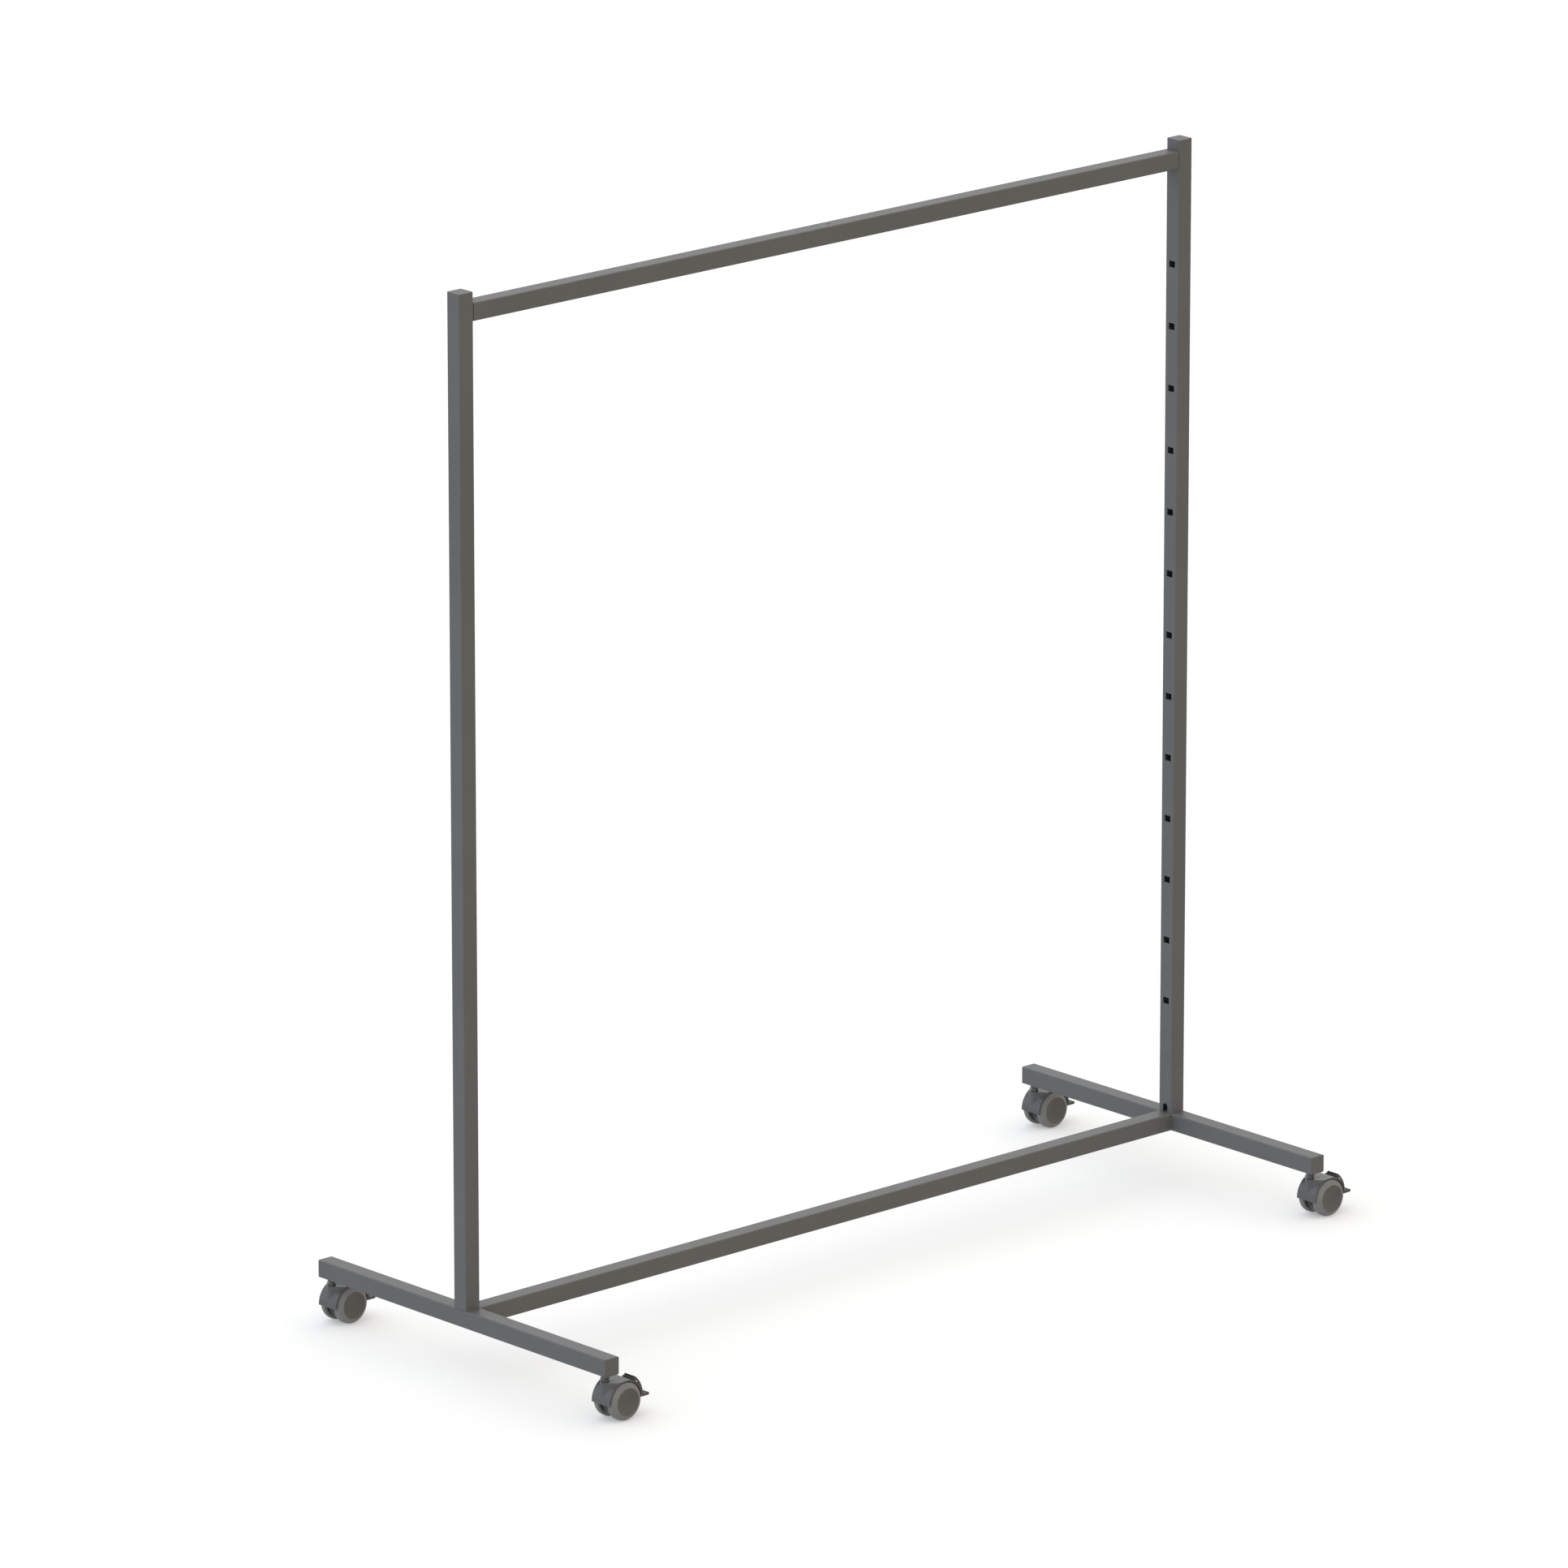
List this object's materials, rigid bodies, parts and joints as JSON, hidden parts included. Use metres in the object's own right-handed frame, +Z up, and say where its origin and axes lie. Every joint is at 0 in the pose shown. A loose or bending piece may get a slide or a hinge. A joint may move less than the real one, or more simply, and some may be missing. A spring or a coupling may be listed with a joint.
{
  "type": "mobile retail panel frame",
  "caption": "Tall open retail display frame on twin-wheel braked castors, with slotted square-tube uprights, a top bar, a bottom bar and two feet.",
  "frame": {"origin": "on the floor, midway between the four castor stems and midway between the uprights", "axes": "+Z up; +X along the bars from the left upright to the right one; -Y towards the front"},
  "size_m": [1.5778, 0.68, 1.6875],
  "materials": {
    "powder_coat": "fine textured dark grey powder coat",
    "zinc_steel": "zinc plated",
    "castor_steel": "dark grey satin",
    "castor_plastic": "moulded, fine spark-eroded texture",
    "pedal_plastic": "moulded satin",
    "wheel_plastic": "moulded, fine texture",
    "tyre_rubber": "grey thermoplastic rubber"
  },
  "bodies": {
    "frame": {"upright_left": "powder_coat", "upright_right": "powder_coat", "top_cap_left": "powder_coat", "top_cap_right": "powder_coat", "base_plug_left": "zinc_steel", "base_plug_right": "zinc_steel", "top_bar": "powder_coat", "bar_hook_left": "zinc_steel", "bar_hook_right": "zinc_steel", "bottom_bar": "powder_coat", "foot_left": "powder_coat", "foot_right": "powder_coat", "foot_cap_front_left": "powder_coat", "foot_cap_front_right": "powder_coat", "foot_cap_back_left": "powder_coat", "foot_cap_back_right": "powder_coat", "base_bolts": "zinc_steel", "castor_nuts": "zinc_steel", "front_left_stem": "castor_steel", "front_right_stem": "castor_steel", "back_left_stem": "castor_steel", "back_right_stem": "castor_steel"},
    "front_left_castor": {"front_left_hood": "castor_plastic", "front_left_axle": "zinc_steel", "front_left_pedal_pin": "zinc_steel"},
    "front_left_outer_wheel": {"front_left_wheel_outer": "wheel_plastic", "front_left_tyre_outer": "tyre_rubber"},
    "front_left_inner_wheel": {"front_left_wheel_inner": "wheel_plastic", "front_left_tyre_inner": "tyre_rubber"},
    "front_left_brake_pedal": {"front_left_pedal": "pedal_plastic"},
    "front_right_castor": {"front_right_hood": "castor_plastic", "front_right_axle": "zinc_steel", "front_right_pedal_pin": "zinc_steel"},
    "front_right_outer_wheel": {"front_right_wheel_outer": "wheel_plastic", "front_right_tyre_outer": "tyre_rubber"},
    "front_right_inner_wheel": {"front_right_wheel_inner": "wheel_plastic", "front_right_tyre_inner": "tyre_rubber"},
    "front_right_brake_pedal": {"front_right_pedal": "pedal_plastic"},
    "back_left_castor": {"back_left_hood": "castor_plastic", "back_left_axle": "zinc_steel", "back_left_pedal_pin": "zinc_steel"},
    "back_left_outer_wheel": {"back_left_wheel_outer": "wheel_plastic", "back_left_tyre_outer": "tyre_rubber"},
    "back_left_inner_wheel": {"back_left_wheel_inner": "wheel_plastic", "back_left_tyre_inner": "tyre_rubber"},
    "back_left_brake_pedal": {"back_left_pedal": "pedal_plastic"},
    "back_right_castor": {"back_right_hood": "castor_plastic", "back_right_axle": "zinc_steel", "back_right_pedal_pin": "zinc_steel"},
    "back_right_outer_wheel": {"back_right_wheel_outer": "wheel_plastic", "back_right_tyre_outer": "tyre_rubber"},
    "back_right_inner_wheel": {"back_right_wheel_inner": "wheel_plastic", "back_right_tyre_inner": "tyre_rubber"},
    "back_right_brake_pedal": {"back_right_pedal": "pedal_plastic"}
  },
  "joints": [
    {"name": "front_left_swivel", "type": "hinge", "parent": "frame", "child": "front_left_castor", "pos_m": [-0.743, -0.315, 0.0624], "axis": [0, 0, 1], "continuous": true},
    {"name": "front_left_outer_spin", "type": "hinge", "parent": "front_left_castor", "child": "front_left_outer_wheel", "pos_m": [-0.7192, -0.315, 0.03], "axis": [0, 1, 0], "continuous": true},
    {"name": "front_left_inner_spin", "type": "hinge", "parent": "front_left_castor", "child": "front_left_inner_wheel", "pos_m": [-0.7192, -0.315, 0.03], "axis": [0, 1, 0], "continuous": true},
    {"name": "front_left_brake", "type": "hinge", "parent": "front_left_castor", "child": "front_left_brake_pedal", "pos_m": [-0.69316, -0.315, 0.05515], "axis": [0, 1, 0], "range_deg": [0, 10]},
    {"name": "front_right_swivel", "type": "hinge", "parent": "frame", "child": "front_right_castor", "pos_m": [0.743, -0.315, 0.0624], "axis": [0, 0, 1], "continuous": true},
    {"name": "front_right_outer_spin", "type": "hinge", "parent": "front_right_castor", "child": "front_right_outer_wheel", "pos_m": [0.7668, -0.315, 0.03], "axis": [0, 1, 0], "continuous": true},
    {"name": "front_right_inner_spin", "type": "hinge", "parent": "front_right_castor", "child": "front_right_inner_wheel", "pos_m": [0.7668, -0.315, 0.03], "axis": [0, 1, 0], "continuous": true},
    {"name": "front_right_brake", "type": "hinge", "parent": "front_right_castor", "child": "front_right_brake_pedal", "pos_m": [0.79284, -0.315, 0.05515], "axis": [0, 1, 0], "range_deg": [0, 10]},
    {"name": "back_left_swivel", "type": "hinge", "parent": "frame", "child": "back_left_castor", "pos_m": [-0.743, 0.315, 0.0624], "axis": [0, 0, 1], "continuous": true},
    {"name": "back_left_outer_spin", "type": "hinge", "parent": "back_left_castor", "child": "back_left_outer_wheel", "pos_m": [-0.7192, 0.315, 0.03], "axis": [0, 1, 0], "continuous": true},
    {"name": "back_left_inner_spin", "type": "hinge", "parent": "back_left_castor", "child": "back_left_inner_wheel", "pos_m": [-0.7192, 0.315, 0.03], "axis": [0, 1, 0], "continuous": true},
    {"name": "back_left_brake", "type": "hinge", "parent": "back_left_castor", "child": "back_left_brake_pedal", "pos_m": [-0.69316, 0.315, 0.05515], "axis": [0, 1, 0], "range_deg": [0, 10]},
    {"name": "back_right_swivel", "type": "hinge", "parent": "frame", "child": "back_right_castor", "pos_m": [0.743, 0.315, 0.0624], "axis": [0, 0, 1], "continuous": true},
    {"name": "back_right_outer_spin", "type": "hinge", "parent": "back_right_castor", "child": "back_right_outer_wheel", "pos_m": [0.7668, 0.315, 0.03], "axis": [0, 1, 0], "continuous": true},
    {"name": "back_right_inner_spin", "type": "hinge", "parent": "back_right_castor", "child": "back_right_inner_wheel", "pos_m": [0.7668, 0.315, 0.03], "axis": [0, 1, 0], "continuous": true},
    {"name": "back_right_brake", "type": "hinge", "parent": "back_right_castor", "child": "back_right_brake_pedal", "pos_m": [0.79284, 0.315, 0.05515], "axis": [0, 1, 0], "range_deg": [0, 10]}
  ]
}
